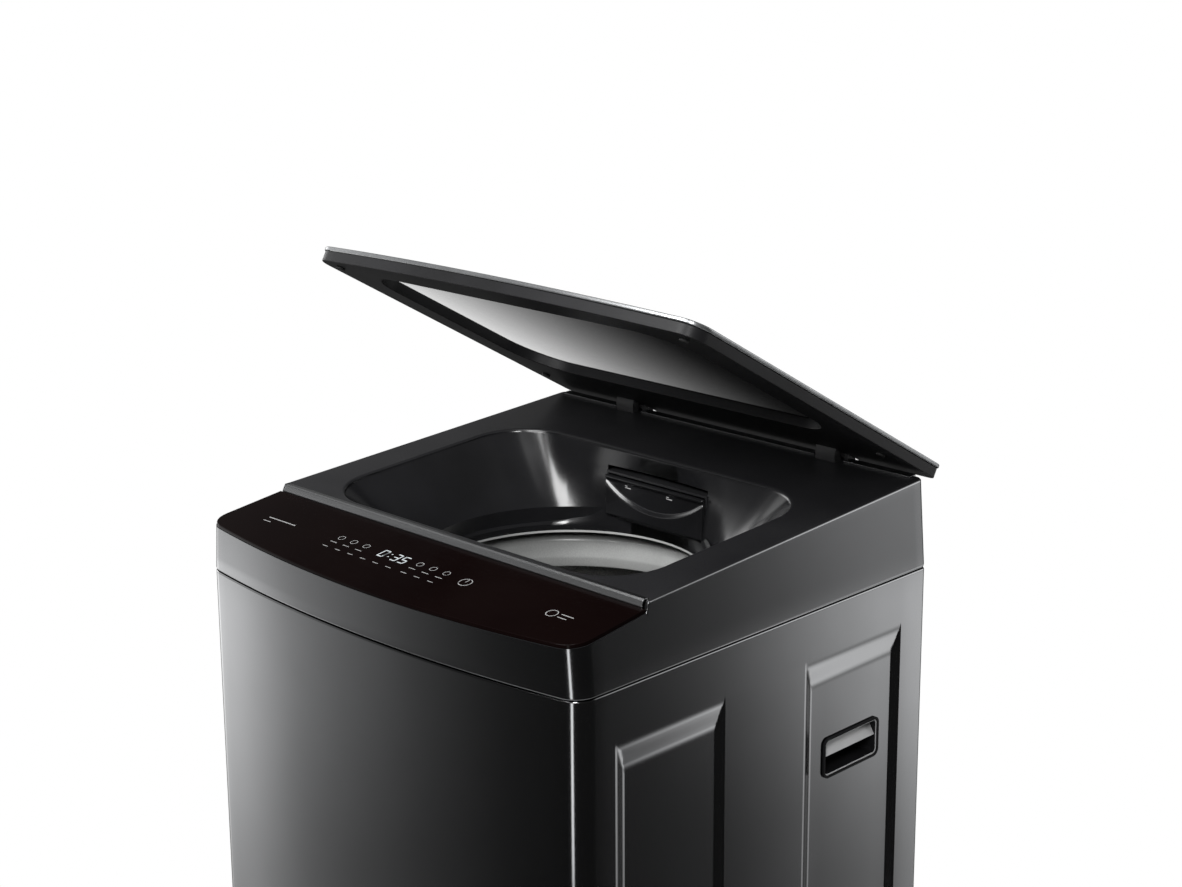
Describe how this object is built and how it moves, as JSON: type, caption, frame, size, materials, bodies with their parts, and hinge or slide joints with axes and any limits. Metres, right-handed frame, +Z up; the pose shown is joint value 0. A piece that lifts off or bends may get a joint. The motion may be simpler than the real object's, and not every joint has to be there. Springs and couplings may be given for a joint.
{
  "type": "top load washing machine",
  "caption": "Free-standing top-loading washer: dark steel cabinet with bowed front, rear-hinged smoked glass lid, sloping touch panel, detergent drawer, hung tub, spinning basket and pulsator.",
  "frame": {"origin": "on the floor, under the middle of the box around the machine with its lid resting half open", "axes": "+Z up, the bowed front and control panel face -Y, +X is the side on the right when the back is towards +Y"},
  "size_m": [0.56, 0.5788, 1.1884],
  "materials": {
    "cabinet_paint": "satin titanium-grey sheet steel",
    "rear_paint": "matt grey galvanised sheet",
    "zinc": "zinc-plated steel",
    "base_plastic": "matt black polypropylene",
    "cover_plastic": "fine-grained dark grey ABS",
    "trim_metal": "satin silver trim",
    "panel_glass": "black back-printed touch glass",
    "circuit_board": "green laminate",
    "black_plastic": "gloss black ABS",
    "grey_plastic": "grey ABS",
    "white_plastic": "natural polypropylene",
    "blue_plastic": "blue moulded cap",
    "rubber": "black rubber",
    "spring_steel": "spring steel wire",
    "lid_glass": "smoked tempered glass, printed black border",
    "lid_plastic": "black ABS lid frame",
    "cast_aluminium": "die-cast aluminium",
    "magnet": "ferrite magnet",
    "tub_plastic": "light grey polypropylene",
    "basket_steel": "stainless steel",
    "basket_plastic": "grey polypropylene",
    "motor_paint": "painted motor shell"
  },
  "bodies": {
    "cabinet": {"cabinet_shell": "cabinet_paint", "rear_panel": "rear_paint", "rear_screws": "zinc", "base_frame": "base_plastic", "top_cover": "cover_plastic", "panel_trim": "trim_metal", "control_glass": "panel_glass", "control_board": "circuit_board", "display_module": "black_plastic", "drawer_housing": "black_plastic", "inlet_valve": "white_plastic", "inlet_hose": "rubber", "pressure_sensor": "white_plastic", "lid_switch": "black_plastic", "hinge_housings": "black_plastic", "hinge_pins": "zinc", "handle_right": "black_plastic", "handle_left": "black_plastic", "suspension_brackets": "zinc", "suspension_rods": "zinc", "suspension_springs": "spring_steel", "inverter_box": "cast_aluminium", "drain_hose": "rubber", "drain_spigot": "base_plastic", "cord_gland": "rubber"},
    "lid": {"lid_glass": "lid_glass", "lid_frame": "lid_plastic", "hinge_arms": "cast_aluminium", "hinge_arm_screws": "zinc", "lid_bumpers": "rubber", "lid_magnet": "magnet"},
    "drawer": {"drawer_body": "grey_plastic", "drawer_front": "black_plastic", "siphon_cap": "blue_plastic"},
    "tub": {"outer_tub": "tub_plastic", "tub_ring": "tub_plastic", "suspension_cups": "white_plastic", "mounting_plate": "zinc", "gear_case": "cast_aluminium", "shaft_seal": "rubber", "spin_bearings": "zinc", "motor_housing": "motor_paint", "drain_valve": "white_plastic", "drive_belt": "rubber"},
    "basket": {"basket_wall": "basket_steel", "basket_base": "basket_plastic", "balance_ring": "basket_plastic", "lint_filter": "white_plastic", "spin_shaft": "cast_aluminium"},
    "pulsator": {"pulsator": "basket_plastic", "pulsator_screw": "zinc", "drive_shaft": "zinc"},
    "clutch_pulley": {"clutch_pulley": "cast_aluminium"},
    "motor_pulley": {"motor_pulley": "cast_aluminium"},
    "foot_front_left": {"foot_front_left": "rubber"},
    "foot_front_right": {"foot_front_right": "rubber"},
    "foot_rear_left": {"foot_rear_left": "rubber"},
    "foot_rear_right": {"foot_rear_right": "rubber"}
  },
  "joints": [
    {"name": "lid_hinge", "type": "hinge", "parent": "cabinet", "child": "lid", "pos_m": [0, 0.26579, 0.95391], "axis": [-1, 0, 0], "range_deg": [-32.97, 59.4]},
    {"name": "drawer_slide", "type": "slide", "parent": "cabinet", "child": "drawer", "axis": [0, -1, 0], "range_m": [0, 0.085]},
    {"name": "tub_bounce", "type": "slide", "parent": "cabinet", "child": "tub", "axis": [0, 0, 1], "range_m": [-0.01, 0.008], "stiffness_N_per_m": 18000, "springref_m": 0.01639, "deforming": ["suspension_springs"]},
    {"name": "basket_spin", "type": "hinge", "parent": "tub", "child": "basket", "pos_m": [0, -0.00441, 0.372], "axis": [0, 0, 1], "continuous": true},
    {"name": "pulley_spin", "type": "hinge", "parent": "tub", "child": "clutch_pulley", "pos_m": [0, -0.00441, 0.084], "axis": [0, 0, 1], "continuous": true},
    {"name": "pulsator_turn", "type": "hinge", "parent": "tub", "child": "pulsator", "pos_m": [0, -0.00441, 0.372], "axis": [0, 0, 1], "continuous": true},
    {"name": "motor_spin", "type": "hinge", "parent": "tub", "child": "motor_pulley", "pos_m": [-0.15, 0.03559, 0.084], "axis": [0, 0, 1], "continuous": true},
    {"name": "foot_front_left_level", "type": "slide", "parent": "cabinet", "child": "foot_front_left", "axis": [0, 0, -1], "range_m": [0, 0.012]},
    {"name": "foot_front_right_level", "type": "slide", "parent": "cabinet", "child": "foot_front_right", "axis": [0, 0, -1], "range_m": [0, 0.012]},
    {"name": "foot_rear_left_level", "type": "slide", "parent": "cabinet", "child": "foot_rear_left", "axis": [0, 0, -1], "range_m": [0, 0.012]},
    {"name": "foot_rear_right_level", "type": "slide", "parent": "cabinet", "child": "foot_rear_right", "axis": [0, 0, -1], "range_m": [0, 0.012]}
  ],
  "couplings": [
    {"joint": "pulsator_turn", "follows": "pulley_spin", "ratio": 0.22727},
    {"joint": "motor_spin", "follows": "pulley_spin", "ratio": 2.6364}
  ]
}
